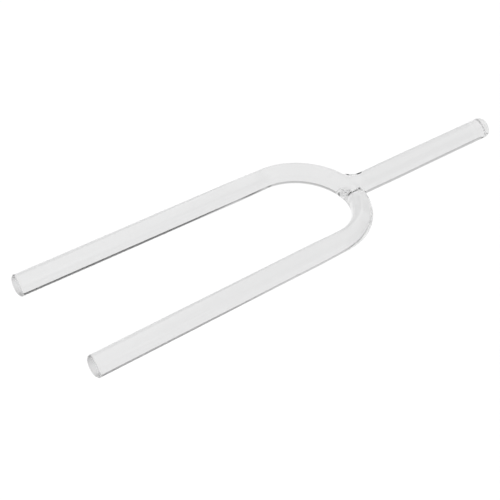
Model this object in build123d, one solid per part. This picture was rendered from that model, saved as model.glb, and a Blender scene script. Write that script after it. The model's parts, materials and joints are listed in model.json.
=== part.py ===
from build123d import *

import os
from math import atan, cos, degrees, radians, sin, tan

# A tuning fork of solid, clear fused-quartz rod, lying flat.
#
# Frame: the origin is the centre of the stem's flat foot. +X points out of the foot, along the
# stem, so the crown and the two tines lie towards -X, and +Z is up. The left side is -Y, as seen
# by a person who holds the stem with the tines pointing away.
# Lengths are in millimetres and angles in degrees.

# Rod
rod_diameter = 16.0
heated_diameter = 15.5  # where the flame has softened the rod to bend or weld it
heated_taper = 26.0  # run over which a rod swells from the heated to the full diameter
tip_edge_radius = 1.2  # fire-polished edge of each tine's free end
foot_edge_radius = 2.6  # and of the stem's

# U bend, an ellipse's half, with a straight tine on each end
bend_half_width = 45.3  # semi-axis across the fork
bend_depth = 41.5  # semi-axis along the fork
tine_length = 205.7
tine_splay = 0.84  # each tine leans outwards by this

# Stem and weld
stem_reach = 135.7  # from the crown's centreline to the foot
bend_offset = 2.0  # the bend's middle lies this far to +Y of the stem's axis
weld_arm_angle = 20.0  # the weld holds this much of the ellipse on each side of the crown
weld_stem_reach = 17.0  # the weld holds this much of the stem, from the crown's centreline
stub_root_diameter = 14.8  # the stem's end inside the crown
web_diameter = 15.1  # the glass that flows from the right arm round into the stem

# Each tine's root stands clear of the bend by this, so that it can swing
flex_gap = 0.05

rod_radius = rod_diameter / 2
heated_radius = heated_diameter / 2
crown_x = -stem_reach
ellipse_centre = (crown_x - bend_depth, bend_offset)
# The ellipse's angle at which its tangent has turned to the tine's own direction
tine_angle = 90.0 - degrees(atan(bend_depth * tan(radians(tine_splay)) / bend_half_width))


def on_bend(angle):
    """The point of the bend's centreline at an angle of its ellipse, 0 at the crown, + to +Y."""
    x = ellipse_centre[0] + bend_depth * cos(radians(angle))
    y = ellipse_centre[1] + bend_half_width * sin(radians(angle))
    return Vector(x, y, 0)


def bent_rod(start_angle, end_angle):
    """Heated rod along the bend's centreline between two angles of its ellipse."""
    path = EllipticalCenterArc(
        ellipse_centre,
        bend_depth,
        bend_half_width,
        start_angle=start_angle,
        arc_size=end_angle - start_angle,
    )
    section = Plane(origin=path @ 0, z_dir=path % 0) * Circle(heated_radius)
    return sweep(section, path=path)


def straight_rod(length, edge_radius):
    """Rod along +X from a heated root at the origin to a fire-polished free end."""
    side = Spline(
        (0, heated_radius), (heated_taper, rod_radius), tangents=[(1, 0), (1, 0)]
    )
    edge_start = (length - edge_radius, rod_radius)
    edge_end = (length, rod_radius - edge_radius)
    full = Line((heated_taper, rod_radius), edge_start)
    edge = RadiusArc(edge_start, edge_end, edge_radius)
    face = Line(edge_end, (length, 0))
    axis = Line((length, 0), (0, 0))
    root = Line((0, 0), (0, heated_radius))
    profile = make_face(Curve() + [root, side, full, edge, face, axis])
    return revolve(profile, Axis.X)


def make_tine(side):
    """Straight tine on the +Y (side = 1) or -Y (side = -1) end of the bend."""
    heading = 180.0 - side * tine_splay
    step = Vector(flex_gap, 0, 0).rotate(Axis.Z, heading)
    root = on_bend(side * tine_angle) + step
    return Location(root, (0, 0, heading)) * straight_rod(tine_length, tip_edge_radius)


def make_bend(side):
    """Bent arm from the weld round to the tine's root, on the +Y or -Y side."""
    angles = sorted([side * weld_arm_angle, side * tine_angle])
    return bent_rod(angles[0], angles[1])


def make_stub():
    """The stem's end, buried in the crown and swelling to the heated diameter."""
    stub = Cone(
        stub_root_diameter / 2,
        heated_radius,
        weld_stem_reach,
        align=(Align.CENTER, Align.CENTER, Align.MIN),
    )
    return Location((crown_x, 0, 0), (0, 90, 0)) * stub


def make_right_web():
    """Glass that flows in one curve from the right arm into the stem and rounds that corner."""
    arm = on_bend(weld_arm_angle)
    along_arm = on_bend(weld_arm_angle - 1) - on_bend(weld_arm_angle + 1)
    stem = Vector(crown_x + weld_stem_reach, 0, 0)
    path = Spline(arm, stem, tangents=[along_arm, Vector(1, 0, 0)])
    section = Plane(origin=path @ 0, z_dir=path % 0) * Circle(web_diameter / 2)
    return sweep(section, path=path)


def make_crown_weld():
    """The knuckle of glass in which both arms and the stem are fused."""
    crown = bent_rod(-weld_arm_angle, weld_arm_angle)
    return crown + make_stub() + make_right_web()


def make_stem():
    """Straight handle from the weld to the foot."""
    length = stem_reach - weld_stem_reach
    return Location((-length, 0, 0)) * straight_rod(length, foot_edge_radius)


os.makedirs("parts", exist_ok=True)
pieces = {
    "left_tine": make_tine(-1),
    "right_tine": make_tine(1),
    "left_bend": make_bend(-1),
    "right_bend": make_bend(1),
    "crown_weld": make_crown_weld(),
    "stem": make_stem(),
}
for name, piece in pieces.items():
    piece.label = name
    export_step(piece, f"parts/{name}.step")
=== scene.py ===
import json
import math

import bmesh
import bpy
import numpy as np
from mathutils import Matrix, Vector


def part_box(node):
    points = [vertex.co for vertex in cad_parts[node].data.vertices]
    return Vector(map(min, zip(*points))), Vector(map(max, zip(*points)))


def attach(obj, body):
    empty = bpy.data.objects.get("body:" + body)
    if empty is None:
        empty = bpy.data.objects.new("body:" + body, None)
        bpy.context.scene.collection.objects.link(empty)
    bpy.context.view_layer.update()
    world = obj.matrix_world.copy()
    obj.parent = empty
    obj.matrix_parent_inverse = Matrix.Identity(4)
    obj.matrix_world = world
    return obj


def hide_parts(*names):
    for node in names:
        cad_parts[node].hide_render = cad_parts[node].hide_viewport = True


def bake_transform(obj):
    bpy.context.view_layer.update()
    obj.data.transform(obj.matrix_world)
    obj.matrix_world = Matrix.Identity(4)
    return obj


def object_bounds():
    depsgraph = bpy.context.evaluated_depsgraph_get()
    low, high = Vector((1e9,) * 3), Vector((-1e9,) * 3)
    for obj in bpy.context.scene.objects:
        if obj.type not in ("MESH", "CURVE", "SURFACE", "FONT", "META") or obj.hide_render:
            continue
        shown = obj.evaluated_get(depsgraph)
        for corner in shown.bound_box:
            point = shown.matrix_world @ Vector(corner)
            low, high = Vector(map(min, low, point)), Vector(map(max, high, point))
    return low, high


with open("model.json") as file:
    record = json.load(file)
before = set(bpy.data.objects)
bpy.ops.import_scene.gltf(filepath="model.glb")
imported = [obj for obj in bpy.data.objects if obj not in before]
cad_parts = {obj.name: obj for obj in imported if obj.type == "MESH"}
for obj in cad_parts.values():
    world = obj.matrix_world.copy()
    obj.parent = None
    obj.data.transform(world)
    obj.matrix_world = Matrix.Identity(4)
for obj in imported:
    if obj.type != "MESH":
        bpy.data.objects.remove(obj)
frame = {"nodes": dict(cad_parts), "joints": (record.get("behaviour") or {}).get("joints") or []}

# A tuning fork of solid, clear fused-quartz rod on a pale studio floor. Every piece is glass, so
# each CAD node is replaced by a finer mesh whose surface carries on smoothly into its neighbours.
# Lengths are in metres.
MM = 0.001
cad_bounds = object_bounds()

# ---------------------------------------------------------------- sizes, read from the frame

PIECES = ["left_tine", "left_bend", "crown_weld", "right_bend", "right_tine", "stem"]
LEFT_TINE, LEFT_BEND, CROWN_WELD, RIGHT_BEND, RIGHT_TINE, STEM = range(len(PIECES))

box = {name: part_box(name) for name in PIECES}
joint_at = {joint["child"]: Vector(joint["pos_m"]) for joint in frame["joints"]}

rod_radius = box["stem"][1].z
heated_radius = box["left_bend"][1].z
middle_y = (box["right_bend"][1].y + box["left_bend"][0].y) / 2
left_root, right_root = joint_at["left_tine"], joint_at["right_tine"]
tip_x = box["left_tine"][0].x
foot_x = box["stem"][1].x
weld_end_x = box["stem"][0].x
tip_edge = 1.2 * MM  # fire-polished edge of each tine's free end
foot_edge = 2.6 * MM  # and of the stem's


def crown_centre_x():
    """Where the bend's centreline crosses the fork's middle, from the CAD weld's inner side."""
    vertices = frame["nodes"]["crown_weld"].data.vertices
    near_middle = 2.5 * MM  # half the strip of vertices that is searched
    inner = min(v.co.x for v in vertices if abs(v.co.y - middle_y) < near_middle)
    return inner + heated_radius


crown_x = crown_centre_x()
# Each tine leans outwards, and the bend, which is half an ellipse, ends at the angle at which it
# has turned to the tine's direction
lean = right_root.y - (box["right_tine"][1].y - rod_radius)
splay = math.atan(-lean / (right_root.x - tip_x - tip_edge))
tine_length = (right_root.x - tip_x) / math.cos(splay)
reach_x, reach_y = crown_x - right_root.x, right_root.y - middle_y
share = reach_x / reach_y * math.tan(splay)
root_angle = math.acos(share / (1 - share))
depth = reach_x / (1 - math.cos(root_angle))
half_width = reach_y / math.sin(root_angle)
# The angle of the ellipse at which the weld passes into each arm
weld_angle = math.asin((box["crown_weld"][1].y - middle_y) / (half_width + heated_radius))

# ---------------------------------------------------------------- the glass surface

tip_dome = 0.8 * MM  # how far the middle of a tine's melted end face stands proud of its edge
foot_dome = 0.3 * MM  # and the stem's
foot_skew_y = 0.06  # slopes by which the foot's face is a little off square
foot_skew_z = 0.04
foot_dullness = 0.15  # of the foot's face, as a share of the tips'
end_softness = 0.6 * MM  # run over which a dulled end face passes into its polished edge
heated_run = 26 * MM  # over which a tine or the stem swells from heated to full radius
neck_depth = 0.14 * MM  # extra waist where a tine meets the bend
neck_width = 14 * MM
seam_depth = 0.3 * MM  # crease over the top of the left arm, where it was butted on to the crown
seam_width = 1.8 * MM  # of each of its slopes
seam_angle = math.radians(17)  # of the ellipse, from which the crease's place is counted
seam_offset = 0.5 * MM  # how much farther from the crown than that the crease lies
seam_lean = 6.0 * MM  # and how much nearer on the bend's outer side, or farther on its inner
seam_sag = 4.5 * MM  # and how much farther on top
seam_bottom = -0.1  # the crease fades in above this cosine of the direction upwards,
seam_bottom_run = 0.4  # over this much of it,
seam_outside = 0.8  # and fades out before this cosine of the direction outwards,
seam_outside_run = 0.5  # over this much of it
web_right = 12 * MM  # reach of the fused web in the corner on the right of the stem
web_left = 4.2 * MM  # and on the left
fold_depth = 1.0 * MM  # two short folds along the stem, where the web's glass was laid on
fold_width = 1.2 * MM
# Each fold's place beyond the crown, half length, and turn from the stem's right towards its top
FOLDS = [(7 * MM, 2.4 * MM, math.radians(44)), (12.6 * MM, 3.2 * MM, math.radians(60))]
stem_swell = 0.3 * MM  # extra radius of the stem beside the weld
stem_swell_run = 60 * MM
wave_height = 0.015 * MM  # hand-worked unevenness of the heated rod
wave_lengths = (17 * MM, 29 * MM, 41 * MM)
wave_phase = 1.7  # radians from one wave to the next
polished_run = 2.5 * MM  # of a free end's skin, which the flame has melted smooth
polished_fade = 5 * MM
worked_reach = 42 * MM  # of the rippled glass round the weld
worked_fade = 30 * MM

ARC_STEPS = 400
NEWTON_STEPS = 5
SETTLING_STEPS = 6
LEAST_SLOPE = 0.05  # squared, so that a step on to the surface stays short
NEAR_AXIS = 0.1 * MM  # keeps a direction from dividing by zero on the rod's axis
NEAR_ZERO = 1e-6  # and the webs' reach from falling to zero

arc_angles = np.linspace(-root_angle, root_angle, ARC_STEPS + 1)
arc_x = crown_x - depth + depth * np.cos(arc_angles)
arc_y = middle_y + half_width * np.sin(arc_angles)
arc_length = np.concatenate([[0], np.cumsum(np.hypot(np.diff(arc_x), np.diff(arc_y)))])
half_bend = arc_length[-1] / 2
arc_along = arc_length - half_bend
weld_along = np.interp(weld_angle, arc_angles, arc_along)
seam_along = np.interp(seam_angle, arc_angles, arc_along)
tip_along = half_bend + tine_length


def smooth_step(value):
    """0 below 0, 1 above 1 and an even rise between."""
    t = np.clip(value, 0, 1)
    return t * t * (3 - 2 * t)


def nearest_arc_angle(x, y):
    """The ellipse angle of the bend's centreline point nearest to each (x, y)."""
    dx = x - (crown_x - depth)
    dy = y - middle_y
    angle = np.arctan2(dy / half_width, dx / depth)
    for _ in range(NEWTON_STEPS):
        angle = np.clip(angle, -root_angle, root_angle)
        c, s = np.cos(angle), np.sin(angle)
        off_x, off_y = dx - depth * c, dy - half_width * s
        slope = -off_x * depth * s + off_y * half_width * c
        bend = depth**2 * s**2 + half_width**2 * c**2 + off_x * depth * c + off_y * half_width * s
        angle = angle + slope / bend
    return np.clip(angle, -root_angle, root_angle)


def rod_unevenness(along):
    """Small swells along a hand-worked rod, as a radius to add."""
    waves = []
    for i, length in enumerate(wave_lengths):
        waves.append(np.sin(2 * np.pi * along / length + wave_phase * i))
    return wave_height * sum(waves) / len(waves)


def u_radius(along):
    """Radius of the U at a distance along its centreline from the crown, + to the right."""
    past_root = np.abs(along) - half_bend
    swell = smooth_step(past_root / heated_run)
    radius = heated_radius + (rod_radius - heated_radius) * swell
    radius = radius - neck_depth * np.exp(-((past_root / neck_width) ** 2))
    return radius + rod_unevenness(along) * smooth_step(1 - past_root / heated_run)


def seam_crease(along, outward, upward):
    """Depth of the left arm's crease; outward and upward are the cosines of a point's direction."""
    off_seam = along + seam_along + seam_offset - seam_lean * outward + seam_sag * upward
    over_top = smooth_step((upward - seam_bottom) / seam_bottom_run)
    over_top = over_top * smooth_step((seam_outside - outward) / seam_outside_run)
    return seam_depth * over_top * np.exp(-((off_seam / seam_width) ** 2))


def stem_radius(x):
    """Radius of the stem at a place along its axis."""
    swell = smooth_step((x - weld_end_x) / heated_run)
    radius = heated_radius + (rod_radius - heated_radius) * swell
    return radius + stem_swell * np.exp(-(((x - weld_end_x) / stem_swell_run) ** 2))


def ended_rod(radial, radius, overrun, edge, dome):
    """Signed distance to a round rod with a fire-polished end; overrun is + beyond its end face."""
    sunk = dome * np.clip(radial / rod_radius, 0, 1) ** 2
    across = radial - (radius - edge)
    beyond = overrun + sunk + edge
    outside = np.hypot(np.maximum(across, 0), np.maximum(beyond, 0))
    inside = np.minimum(np.maximum(across, beyond), 0)
    return outside + inside - edge


def tine_heading(side):
    """The direction from a tine's root to its tip, on the right (side = 1) or left (side = -1)."""
    return Vector((-math.cos(splay), side * math.sin(splay), 0))


def u_place(points):
    """Where each point lies along the U, and how far out of the U and from its centreline."""
    x, y, z = points.T
    angle = nearest_arc_angle(x, y)
    dx = x - (crown_x - depth + depth * np.cos(angle))
    dy = y - (middle_y + half_width * np.sin(angle))
    radial = np.sqrt(dx**2 + dy**2 + z**2)
    along = np.interp(angle, arc_angles, arc_along)
    out_x, out_y = half_width * np.cos(angle), depth * np.sin(angle)
    outward = (dx * out_x + dy * out_y) / np.hypot(out_x, out_y)
    for side, root in ((-1, left_root), (1, right_root)):
        dir_x, dir_y = -math.cos(splay), side * math.sin(splay)
        dx, dy = x - root.x, y - root.y
        down = dx * dir_x + dy * dir_y
        on_tine = (down > 0) & (side * (y - middle_y) > 0)
        off_axis = side * (dy * math.cos(splay) + side * dx * math.sin(splay))
        outward = np.where(on_tine, off_axis, outward)
        radial = np.where(on_tine, np.hypot(off_axis, z), radial)
        along = np.where(on_tine, side * (half_bend + down), along)
    return along, outward, radial


def u_distance(points):
    """Signed distance to the bend and its two tines."""
    along, outward, radial = u_place(points)
    off_centre = np.maximum(radial, NEAR_AXIS)
    crease = seam_crease(along, outward / off_centre, points[:, 2] / off_centre)
    overrun = np.abs(along) - tip_along
    return ended_rod(radial, u_radius(along) - crease, overrun, tip_edge, tip_dome)


def stem_distance(points):
    """Signed distance to the stem, whose inner end is buried in the crown."""
    x, y, z = points.T
    start = crown_x + heated_radius / 2
    radial = np.sqrt(np.minimum(x - start, 0) ** 2 + y**2 + z**2)
    overrun = x - foot_x + foot_skew_y * y + foot_skew_z * z
    return ended_rod(radial, stem_radius(x), overrun, foot_edge, foot_dome)


def web_reach(x, y, z):
    """How far from the corners beside the stem the melted webs reach: widest at mid-height."""
    to_right = smooth_step(0.5 + y / rod_radius)
    reach = web_left + (web_right - web_left) * to_right
    reach = reach * np.clip(1 - (z / heated_radius) ** 4, 0, 1)
    return reach * smooth_step((x - crown_x) / heated_radius) + NEAR_ZERO


def glass_distance(points):
    """Signed distance to the whole fork's glass, with the webs melted in beside the stem."""
    x, y, z = points.T
    u, stem = u_distance(points), stem_distance(points)
    reach = web_reach(x, y, z)
    near = np.maximum(reach - np.abs(u - stem), 0) / reach
    distance = np.minimum(u, stem) - near**2 * reach / 4
    for place, half_length, turn in FOLDS:
        off_fold = (np.arctan2(z, y) - turn) * np.hypot(y, z)
        here = np.exp(-(((x - crown_x - place) / half_length) ** 4))
        distance = distance + fold_depth * here * np.exp(-((off_fold / fold_width) ** 2))
    return distance


def glass_slope(points):
    """The gradient of glass_distance, by central differences."""
    step = 0.02 * MM
    columns = []
    for axis in range(3):
        shift = np.zeros(3)
        shift[axis] = step
        columns.append(glass_distance(points + shift) - glass_distance(points - shift))
    return np.stack(columns, 1) / (2 * step)


def grain(points):
    """Where a surface point lies in its rod (along, across, up), for marks that follow the rod."""
    along, outward, _ = u_place(points)
    on_stem = stem_distance(points) < u_distance(points)
    clear_of_u = 2 * tip_along  # gives the stem marks of its own
    along = np.where(on_stem, points[:, 0] + clear_of_u, along)
    across = np.where(on_stem, points[:, 1], outward)
    return np.stack([along, across, points[:, 2]], 1)


def end_face(points):
    """How dull the skin is, and where the tint is made paler as painted light: 1 on a tine's end face,
    a little on the foot's, and 0 elsewhere.
    """
    along, _, radial = u_place(points)
    x, y, z = points.T
    at_tip = smooth_step((rod_radius - tip_edge - radial) / end_softness)
    at_tip = at_tip * (np.abs(along) > tip_along - tip_edge)
    at_foot = smooth_step((rod_radius - foot_edge - np.hypot(y, z)) / end_softness)
    at_foot = at_foot * (x > foot_x - foot_edge)
    return np.maximum(at_tip, foot_dullness * at_foot)


def drawn(points):
    """1 where the rod's skin is as it was drawn, and 0 where the flame has melted it smooth."""
    along, _, _ = u_place(points)
    x = points[:, 0]
    on_tine = smooth_step((np.abs(along) - half_bend) / heated_run)
    on_tine = on_tine * smooth_step((tip_along - np.abs(along) - polished_run) / polished_fade)
    on_stem = smooth_step((x - weld_end_x) / heated_run)
    on_stem = on_stem * smooth_step((foot_x - x - polished_run) / polished_fade)
    return np.maximum(on_tine, on_stem)


def flame_worked(points):
    """1 beside the weld, where the glass was worked longest, fading to 0 along each rod."""
    off_weld = np.hypot(points[:, 0] - crown_x, points[:, 1] - middle_y)
    return smooth_step((worked_reach - off_weld) / worked_fade)


# ---------------------------------------------------------------- the cage

AROUND = 32  # faces round a rod in the cage
SUBDIVISIONS = 2
WINDOW = AROUND // 4  # the stem's opening in the crown is this many faces each way
half_opening = 6.2 * MM  # of that window, along the crown
collar_gap = 3 * MM  # from the crown's outer side to the stem's first ring
straight_spacing = 5 * MM  # of the cage's rings on a tine or the stem
bend_spacing = 3 * MM
weld_spacing = 1.5 * MM
crease_spacing = 0.75 * MM  # near the crease,
crease_on_arm = 3 * MM  # for this far on the arm
crease_on_crown = 6 * MM  # and this far on the crown
ARC_OF_EDGE = [math.radians(angle) for angle in (30, 60, 90)]  # of the rings over a rounded edge
FACE_RINGS = (0.66, 0.33)  # radii of the rings on an end face, as shares of its own


def spread(start, end, spacing):
    """Even stations from start up to but not including end, about spacing apart."""
    count = max(1, round(abs(end - start) / spacing))
    return list(np.linspace(start, end, count + 1)[:-1])


def u_frame(along):
    """A centreline point of the U and the direction that points out of the U there."""
    if abs(along) <= half_bend:
        angle = np.interp(along, arc_along, arc_angles)
        c, s = math.cos(angle), math.sin(angle)
        centre = Vector((crown_x - depth + depth * c, middle_y + half_width * s, 0))
        return centre, Vector((half_width * c, depth * s, 0)).normalized()
    side = math.copysign(1, along)
    root = right_root if side > 0 else left_root
    centre = Vector((root.x, root.y, 0)) + tine_heading(side) * (abs(along) - half_bend)
    return centre, Vector((math.sin(splay), side * math.cos(splay), 0))


def u_stations():
    """Ring places along the U, the piece from each ring to the next, and the window's first ring."""
    stem_along = np.interp(math.asin(-middle_y / half_width), arc_angles, arc_along)
    window_start, window_end = stem_along - half_opening, stem_along + half_opening
    window_spacing = 2 * half_opening / WINDOW
    arm_start, crown_end = -weld_along - crease_on_arm, -weld_along + crease_on_crown
    wall_end = tip_along - tip_edge
    before_window = [
        (-wall_end, -half_bend, straight_spacing, LEFT_TINE),
        (-half_bend, arm_start, bend_spacing, LEFT_BEND),
        (arm_start, -weld_along, crease_spacing, LEFT_BEND),
        (-weld_along, crown_end, crease_spacing, CROWN_WELD),
        (crown_end, window_start, weld_spacing, CROWN_WELD),
    ]
    from_window = [
        (window_start, window_end, window_spacing, CROWN_WELD),
        (window_end, weld_along, weld_spacing, CROWN_WELD),
        (weld_along, half_bend, bend_spacing, RIGHT_BEND),
        (half_bend, wall_end, straight_spacing, RIGHT_TINE),
    ]
    stations, owners = [], []
    for spans in (before_window, from_window):
        first_ring = len(stations)
        for start, end, spacing, owner in spans:
            places = spread(start, end, spacing)
            stations += places
            owners += [owner] * len(places)
    stations.append(wall_end)
    return stations, owners, first_ring


def end_rings(edge):
    """(how far past the straight wall, radius) of the cage rings over a fire-polished end."""
    flat = rod_radius - edge
    rings = [(edge * math.sin(a), flat + edge * math.cos(a)) for a in ARC_OF_EDGE]
    return rings + [(edge, flat * part) for part in FACE_RINGS]


class Cage:
    """The fork's coarse closed mesh, with a piece for every face."""

    def __init__(self):
        self.mesh = bmesh.new()

    def ring(self, centre, out, up, radius, first=0.0, turn=1):
        """A ring of vertices round centre, from the angle first, turning from out to up."""
        angles = [first + turn * 2 * math.pi * i / AROUND for i in range(AROUND)]
        spokes = [out * math.cos(a) + up * math.sin(a) for a in angles]
        return [self.mesh.verts.new(centre + spoke * radius) for spoke in spokes]

    def band(self, one, other, piece, skip=()):
        """Faces between two rings, apart from the skipped ones."""
        for i in range(AROUND):
            if i in skip:
                continue
            j = (i + 1) % AROUND
            self.face([one[i], one[j], other[j], other[i]], piece)

    def face(self, corners, piece):
        """A face that belongs to a piece."""
        self.mesh.faces.new(corners).material_index = piece

    def close_end(self, ring, centre, heading, out, up, edge, piece, first=0.0, turn=1):
        """Rings over a fire-polished end and the face in its middle."""
        for past, radius in end_rings(edge):
            further = self.ring(centre + heading * past, out, up, radius, first, turn)
            self.band(ring, further, piece)
            ring = further
        self.face(ring, piece)


def build_cage():
    """The whole fork's cage: the U with a window in its crown, and the stem that grows from it."""
    cage = Cage()
    up = Vector((0, 0, 1))
    stations, owners, window_start = u_stations()
    rings = []
    for along in stations:
        centre, out = u_frame(along)
        rings.append(cage.ring(centre, out, up, heated_radius))
    half = WINDOW // 2
    window = {i % AROUND for i in range(-half, half)}
    for i, owner in enumerate(owners):
        open_here = window_start <= i < window_start + WINDOW
        cage.band(rings[i], rings[i + 1], owner, window if open_here else ())
    for index, side, owner in ((0, -1, LEFT_TINE), (-1, 1, RIGHT_TINE)):
        centre, out = u_frame(stations[index])
        cage.close_end(rings[index], centre, tine_heading(side), out, up, tip_edge, owner)
    grow_stem(cage, window_loop(rings, window_start, half), up)
    bmesh.ops.recalc_face_normals(cage.mesh, faces=cage.mesh.faces)
    return cage.mesh


def window_loop(rings, start, half):
    """The window's rim in order: up its -Y side, across its top, down its +Y side and back."""
    end = start + WINDOW
    rim = [rings[start][j % AROUND] for j in range(-half, half + 1)]
    rim += [rings[i][half] for i in range(start + 1, end + 1)]
    rim += [rings[end][j % AROUND] for j in range(half - 1, -half - 1, -1)]
    rim += [rings[i][-half % AROUND] for i in range(end - 1, start, -1)]
    return rim


def grow_stem(cage, rim, up):
    """The stem's rings, from the window's rim to the foot."""
    first, turn = math.radians(225), -1  # as the rim does, from its lower -Y corner up and over
    out = Vector((0, 1, 0))
    collar = crown_x + heated_radius + collar_gap
    wall_end = foot_x - foot_edge
    places = spread(collar, weld_end_x, weld_spacing)
    weld_rings = len(places)
    places += spread(weld_end_x, wall_end, straight_spacing) + [wall_end]
    ring = rim
    for i, x in enumerate(places):
        further = cage.ring(Vector((x, 0, 0)), out, up, heated_radius, first, turn)
        cage.band(ring, further, CROWN_WELD if i <= weld_rings else STEM)
        ring = further
    heading = Vector((1, 0, 0))
    centre = Vector((wall_end, 0, 0))
    cage.close_end(ring, centre, heading, out, up, foot_edge, STEM, first, turn)


# ---------------------------------------------------------------- from cage to glass

def subdivided(cage):
    """The cage's smooth mesh as (points, faces, piece of each face)."""
    mesh = bpy.data.meshes.new("cage")
    cage.to_mesh(mesh)
    cage.free()
    for name in PIECES:
        mesh.materials.append(bpy.data.materials.new("cage_" + name))
    carrier = bpy.data.objects.new("cage", mesh)
    bpy.context.scene.collection.objects.link(carrier)
    smoother = carrier.modifiers.new("smooth", "SUBSURF")
    smoother.levels = smoother.render_levels = SUBDIVISIONS
    bpy.context.view_layer.update()
    result = carrier.evaluated_get(bpy.context.evaluated_depsgraph_get()).to_mesh()
    points = np.array([v.co for v in result.vertices], float)
    faces = np.array([tuple(p.vertices) for p in result.polygons])
    owner = np.array([p.material_index for p in result.polygons])
    bpy.data.objects.remove(carrier)
    bpy.data.meshes.remove(mesh)
    for name in PIECES:
        bpy.data.materials.remove(bpy.data.materials["cage_" + name])
    return points, faces, owner


def settled(points):
    """Points moved on to the glass surface."""
    for _ in range(SETTLING_STEPS):
        slope = glass_slope(points)
        square = np.maximum((slope**2).sum(1), LEAST_SLOPE)
        points = points - slope * (glass_distance(points) / square)[:, None]
    return points


def vertex_normals(points, faces):
    """Smooth normals of the whole surface, so that neighbours agree where they meet."""
    a, b, c, d = (points[faces[:, i]] for i in range(4))
    face_normals = np.cross(c - a, d - b)
    normals = np.zeros_like(points)
    for corner in range(4):
        np.add.at(normals, faces[:, corner], face_normals)
    return normals / np.linalg.norm(normals, axis=1)[:, None]


def rim_loops(faces):
    """Ordered vertex loops round the open ends of a set of faces."""
    edges = {}  # a dict keeps them in order
    for face in faces:
        for a, b in zip(face, np.roll(face, -1)):
            edges[(a, b)] = True
    following = {b: a for a, b in edges if (b, a) not in edges}
    loops = []
    while following:
        start, after = following.popitem()
        loop = [start]
        while after != start:
            loop.append(after)
            after = following.pop(after)
        loops.append(loop)
    return loops


def mark_surface(mesh, points):
    """Stores what the glass material reads at each vertex."""
    mesh.attributes.new("grain", "FLOAT_VECTOR", "POINT")
    mesh.attributes["grain"].data.foreach_set("vector", grain(points).ravel())
    for name, mark in (("end_face", end_face), ("drawn", drawn), ("flame_worked", flame_worked)):
        mesh.attributes.new(name, "FLOAT", "POINT")
        mesh.attributes[name].data.foreach_set("value", mark(points))


def cap_ends(skin, verts, polygons, corner_normals):
    """Closes each open end of a piece's skin with a flat fan round a new point in its middle."""
    for loop in rim_loops(skin):
        middle = np.mean([verts[v] for v in loop], 0)
        hub = len(verts)
        verts.append(middle.tolist())
        sides = list(zip(loop, loop[1:] + loop[:1]))
        flat = np.zeros(3)
        for a, b in sides:
            flat += np.cross(np.subtract(verts[a], middle), np.subtract(verts[b], middle))
        flat /= np.linalg.norm(flat)
        for a, b in sides:
            polygons.append([a, b, hub])
            corner_normals += [flat] * 3


def make_piece(index, points, normals, faces, owner, materials):
    """One closed glass piece: its share of the surface and a flat cap at each fused joint."""
    mine = faces[owner == index]
    used, local = np.unique(mine, return_inverse=True)
    local = local.reshape(mine.shape)
    verts = points[used].tolist()
    corner_normals = [normals[used[v]] for v in local.ravel()]
    polygons = local.tolist()
    skin_count = len(polygons)
    cap_ends(local, verts, polygons, corner_normals)
    mesh = bpy.data.meshes.new(PIECES[index] + "_glass")
    mesh.from_pydata(verts, [], polygons)
    for material in materials:
        mesh.materials.append(material)
    for i, polygon in enumerate(mesh.polygons):
        polygon.use_smooth = i < skin_count
        polygon.material_index = 0 if i < skin_count else 1
    mesh.normals_split_custom_set([tuple(n) for n in corner_normals])
    mark_surface(mesh, np.array(verts))
    piece = bpy.data.objects.new(PIECES[index] + "_glass", mesh)
    bpy.context.scene.collection.objects.link(piece)
    return piece


# ---------------------------------------------------------------- materials

class Nodes:
    """A node tree with short calls to add and join its nodes."""

    def __init__(self, tree):
        self.tree = tree
        tree.nodes.clear()

    def feed(self, socket, value):
        """Sets an input to a value, or links it from another node's output; None leaves it."""
        if isinstance(value, bpy.types.NodeSocket):
            self.tree.links.new(value, socket)
        elif value is not None:
            socket.default_value = value

    def add(self, kind, *values, **settings):
        """A new node with its first inputs fed; a setting is a property of the node."""
        node = self.tree.nodes.new("ShaderNode" + kind)
        for key, value in settings.items():
            setattr(node, key, value)
        for socket, value in zip(node.inputs, values):
            self.feed(socket, value)
        return node

    def math(self, operation, *values):
        """The result of a math node."""
        return self.add("Math", *values, operation=operation).outputs[0]

    def degrees(self, angle):
        """An angle in radians, turned into degrees."""
        return self.math("DEGREES", angle)

    def attribute(self, name):
        """Reads a mesh attribute stored by mark_surface."""
        return self.add("Attribute", attribute_name=name)

    def noise(self, place, scale, detail):
        """Noise from 0 to 1, with scale cells to a unit of place."""
        return self.add("TexNoise", place, None, scale, detail).outputs[0]

    def scaled(self, value, low, high):
        """A value from 0 to 1 spread between two others."""
        return self.add("MapRange", value, 0.0, 1.0, low, high).outputs[0]

    def bump(self, height, size, normal=None):
        """A bump as high as size, in metres, over another normal."""
        node = self.add("Bump")
        self.feed(node.inputs["Height"], height)
        self.feed(node.inputs["Distance"], size)
        self.feed(node.inputs["Normal"], normal)
        return node.outputs[0]

    def between(self, value, low, high, softness):
        """1 between two limits and 0 outside them, with soft edges."""
        half = softness / 2
        rise = self.add("MapRange", value, low - half, low + half, 0.0, 1.0)
        fall = self.add("MapRange", value, high - half, high + half, 1.0, 0.0)
        rise.interpolation_type = fall.interpolation_type = "SMOOTHSTEP"
        return self.math("MULTIPLY", rise.outputs[0], fall.outputs[0])


QUARTZ_IOR = 1.458
# The quartz's grey is painted shade: the glass is clear, and this grey stands in for the fork's shadow
# on the floor seen through the rod, which the pieces don't cast
QUARTZ_PAINTED_SHADE = (0.764, 0.784)  # its least and greatest value, from cloud to cloud
BLUE_SHARE = 1.003  # of the tint, beside red and green
# Painted light: the end faces' tint is made paler, so that they look lighter than the rest of the
# glass
END_FACE_PAINTED_LIGHT = 0.12  # added to the tint on the dulled end faces
QUARTZ_ROUGHNESS = (0.022, 0.038)
END_ROUGHNESS = (0.35, 0.5)  # added on the dulled end faces
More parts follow.
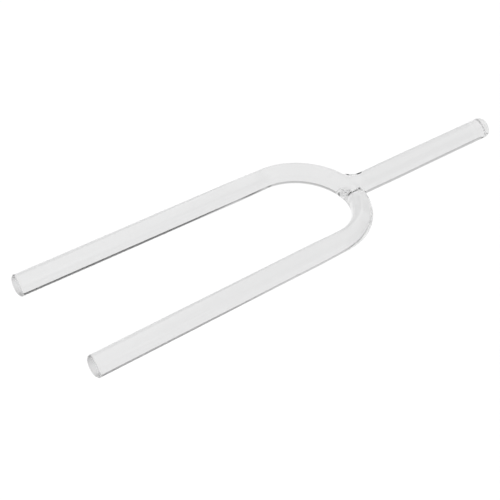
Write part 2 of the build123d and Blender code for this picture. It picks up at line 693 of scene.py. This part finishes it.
# Noise cells to a metre
CLOUD_SCALE = 60
SMEAR_SCALE = 140
RIPPLE_SCALE = 260
SPECKLE_SCALE = 900
DRAW_LINE_SCALE = (9, 420, 420)  # along the rod, across it and up
DRAW_LINE_HEIGHT = 0.008 * MM
RIPPLE_HEIGHT = 0.03 * MM
PIT_HEIGHT = 0.01 * MM

PAPER_TONE = (0.895, 0.905)
PAPER_ROUGHNESS = (0.85, 0.95)
PAPER_TONE_SCALE = 3
PAPER_SHEEN_SCALE = 40
TOOTH_SCALE = 2500
TOOTH_HEIGHT = 0.02 * MM

STUDIO_WHITE = 1.06  # what the glass sees round it, between the panels
PAPER_WHITE = 1.15  # what the camera and the floor see instead
LIGHT_BOUNCES = 48  # enough for light that is trapped in the rod to find its way out
# The panels that the glass sees, one over another: from and to in azimuth (0 is +X, 90 is +Y) and
# in elevation, softness of the edges, all in degrees, and brightness
STUDIO_PANELS = [
    (-200, 200, -20, 10, 8, 0.5),  # dim foot of the walls
    (-60, 46, -20, 42, 9, 0.52),  # grey wall beyond the stem
    (44, 62, -20, 24, 2, 0.6),  # grey strip beside the flag
    (62, 128, -20, 40, 2, 0.02),  # black flag behind the right tine
    (-85, -62, 20, 55, 6, 1.4),  # soft lamp to the right of the camera
]


def new_material(name):
    """A new material and its empty node tree."""
    material = bpy.data.materials.new(name)
    material.use_nodes = True
    return material, Nodes(material.node_tree)


def draw_lines(nodes, place):
    """Faint lines the rod kept from being drawn, as a height from 0 to 1."""
    stretched = nodes.add("VectorMath", place, DRAW_LINE_SCALE, operation="MULTIPLY")
    return nodes.noise(stretched.outputs[0], 1, 2)


def quartz_material():
    """Clear fused quartz with a grey that is painted shade and painted light on its end faces, draw
    lines, a rippled weld and finely dulled ends.
    """
    material, nodes = new_material("clear_quartz")
    place = nodes.attribute("grain").outputs["Vector"]
    end = nodes.attribute("end_face").outputs["Fac"]
    worked = nodes.attribute("flame_worked").outputs["Fac"]
    cloud = nodes.noise(place, CLOUD_SCALE, 2)
    speckle = nodes.noise(place, SPECKLE_SCALE, 3)

    # painted shade: the grey tint darkens the glass in place of the floor shade under the rod
    tint_with_painted_light = nodes.scaled(cloud, *QUARTZ_PAINTED_SHADE)
    # painted light: the tint made paler on the end faces
    tint_with_painted_light = nodes.math("ADD", tint_with_painted_light, nodes.math("MULTIPLY", end, END_FACE_PAINTED_LIGHT))
    blue = nodes.math("MULTIPLY", tint_with_painted_light, BLUE_SHARE)
    colour = nodes.add("CombineColor", tint_with_painted_light, tint_with_painted_light, blue).outputs[0]

    rough = nodes.scaled(nodes.noise(place, SMEAR_SCALE, 3), *QUARTZ_ROUGHNESS)
    dulled = nodes.math("MULTIPLY", end, nodes.scaled(speckle, *END_ROUGHNESS))
    rough = nodes.math("ADD", rough, dulled)

    unworked = nodes.attribute("drawn").outputs["Fac"]
    lines = nodes.math("MULTIPLY", draw_lines(nodes, place), unworked)
    lines = nodes.bump(lines, DRAW_LINE_HEIGHT)
    ripple = nodes.math("MULTIPLY", nodes.noise(place, RIPPLE_SCALE, 2), worked)
    rippled = nodes.bump(ripple, RIPPLE_HEIGHT, lines)
    pitted = nodes.bump(nodes.math("MULTIPLY", speckle, end), PIT_HEIGHT, rippled)

    glass = nodes.add("BsdfPrincipled", colour)
    nodes.feed(glass.inputs["Transmission Weight"], 1.0)
    nodes.feed(glass.inputs["IOR"], QUARTZ_IOR)
    nodes.feed(glass.inputs["Roughness"], rough)
    nodes.feed(glass.inputs["Normal"], pitted)
    nodes.add("OutputMaterial", glass.outputs[0])
    return material


def fused_material():
    """The inside of a fused joint, where the glass carries on and nothing shows."""
    material, nodes = new_material("fused_joint")
    nodes.add("OutputMaterial", nodes.add("BsdfTransparent").outputs[0])
    return material


def paper_material():
    """Matt white studio paper with a trace of tone and tooth."""
    material, nodes = new_material("floor_paper")
    place = nodes.add("TexCoord").outputs["Object"]
    tone = nodes.scaled(nodes.noise(place, PAPER_TONE_SCALE, 2), *PAPER_TONE)
    colour = nodes.add("CombineColor", tone, tone, tone).outputs[0]
    tooth = nodes.bump(nodes.noise(place, TOOTH_SCALE, 2), TOOTH_HEIGHT)
    rough = nodes.scaled(nodes.noise(place, PAPER_SHEEN_SCALE, 2), *PAPER_ROUGHNESS)
    paper = nodes.add("BsdfPrincipled", colour)
    nodes.feed(paper.inputs["Roughness"], rough)
    nodes.feed(paper.inputs["Normal"], tooth)
    nodes.add("OutputMaterial", paper.outputs[0])
    return material


# ---------------------------------------------------------------- the fork

def build_fork():
    """The six glass pieces, each in place of its CAD node; a tine's root stays with the bend."""
    points, faces, owner = subdivided(build_cage())
    points = settled(points)
    normals = vertex_normals(points, faces)
    materials = [quartz_material(), fused_material()]
    for index, name in enumerate(PIECES):
        piece = make_piece(index, points, normals, faces, owner, materials)
        if name.endswith("_tine"):
            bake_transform(piece)
        else:
            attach(piece, "base")
        # The pieces cast no shadow and don't darken the floor's light; the quartz's grey tint is
        # painted shade in its place
        piece.visible_shadow = piece.visible_diffuse = False
        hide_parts(name)


# ---------------------------------------------------------------- stage, light and camera

def build_floor():
    """A wide sheet of paper just under the fork."""
    half_side = 6.0
    gap = 0.1 * MM
    mesh = bpy.data.meshes.new("floor")
    signs = [(-1, -1), (1, -1), (1, 1), (-1, 1)]
    corners = [(half_side * x, half_side * y, 0) for x, y in signs]
    mesh.from_pydata(corners, [], [(0, 1, 2, 3)])
    floor = bpy.data.objects.new("floor", mesh)
    floor.location.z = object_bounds()[0][2] - gap
    bpy.context.scene.collection.objects.link(floor)
    mesh.materials.append(paper_material())


def build_world():
    """White all round for the camera and the floor; what the glass sees is a studio of soft panels."""
    world = bpy.data.worlds.new("studio")
    bpy.context.scene.world = world
    world.use_nodes = True
    world.cycles.sampling_method = "NONE"
    nodes = Nodes(world.node_tree)
    direction = nodes.add("SeparateXYZ", nodes.add("TexCoord").outputs["Generated"]).outputs
    elevation = nodes.degrees(nodes.math("ARCSINE", direction["Z"]))
    azimuth = nodes.degrees(nodes.math("ARCTAN2", direction["Y"], direction["X"]))
    brightness = STUDIO_WHITE
    for start, end, low, high, softness, level in STUDIO_PANELS:
        inside = nodes.between(azimuth, start, end, softness)
        inside = nodes.math("MULTIPLY", inside, nodes.between(elevation, low, high, softness))
        mix = nodes.add("Mix", inside, None, brightness, level)
        brightness = mix.outputs[0]
    studio = nodes.add("Background", brightness)
    paper = nodes.add("Background", (1, 1, 1, 1), PAPER_WHITE)
    path = nodes.add("LightPath").outputs
    direct = nodes.math("MAXIMUM", path["Is Camera Ray"], path["Is Diffuse Ray"])
    pick = nodes.add("MixShader", direct, studio.outputs[0], paper.outputs[0])
    nodes.add("OutputWorld", pick.outputs[0])


def build_camera():
    """The camera looks down on the fork from its left front."""
    azimuth, elevation = math.radians(-36.88), math.radians(39.2)
    distance = 942.6 * MM
    aim_off_middle = Vector((-43.3 * MM, -14.6 * MM, 0))
    low, high = (Vector(corner) for corner in cad_bounds)
    target = (low + high) / 2 + aim_off_middle
    back = Vector(
        (
            math.sin(azimuth) * math.cos(elevation),
            -math.cos(azimuth) * math.cos(elevation),
            math.sin(elevation),
        )
    )
    data = bpy.data.cameras.new("camera")
    data.sensor_width = 36  # millimetres, as is the focal length
    data.lens = 98.64
    camera = bpy.data.objects.new("camera", data)
    camera.location = target + back * distance
    camera.rotation_euler = back.to_track_quat("Z", "Y").to_euler()
    bpy.context.scene.collection.objects.link(camera)
    bpy.context.scene.camera = camera


build_fork()
build_floor()
build_world()
build_camera()

scene = bpy.context.scene
scene.view_settings.view_transform = "Standard"
scene.cycles.max_bounces = LIGHT_BOUNCES
scene.cycles.transmission_bounces = LIGHT_BOUNCES
scene.cycles.glossy_bounces = LIGHT_BOUNCES
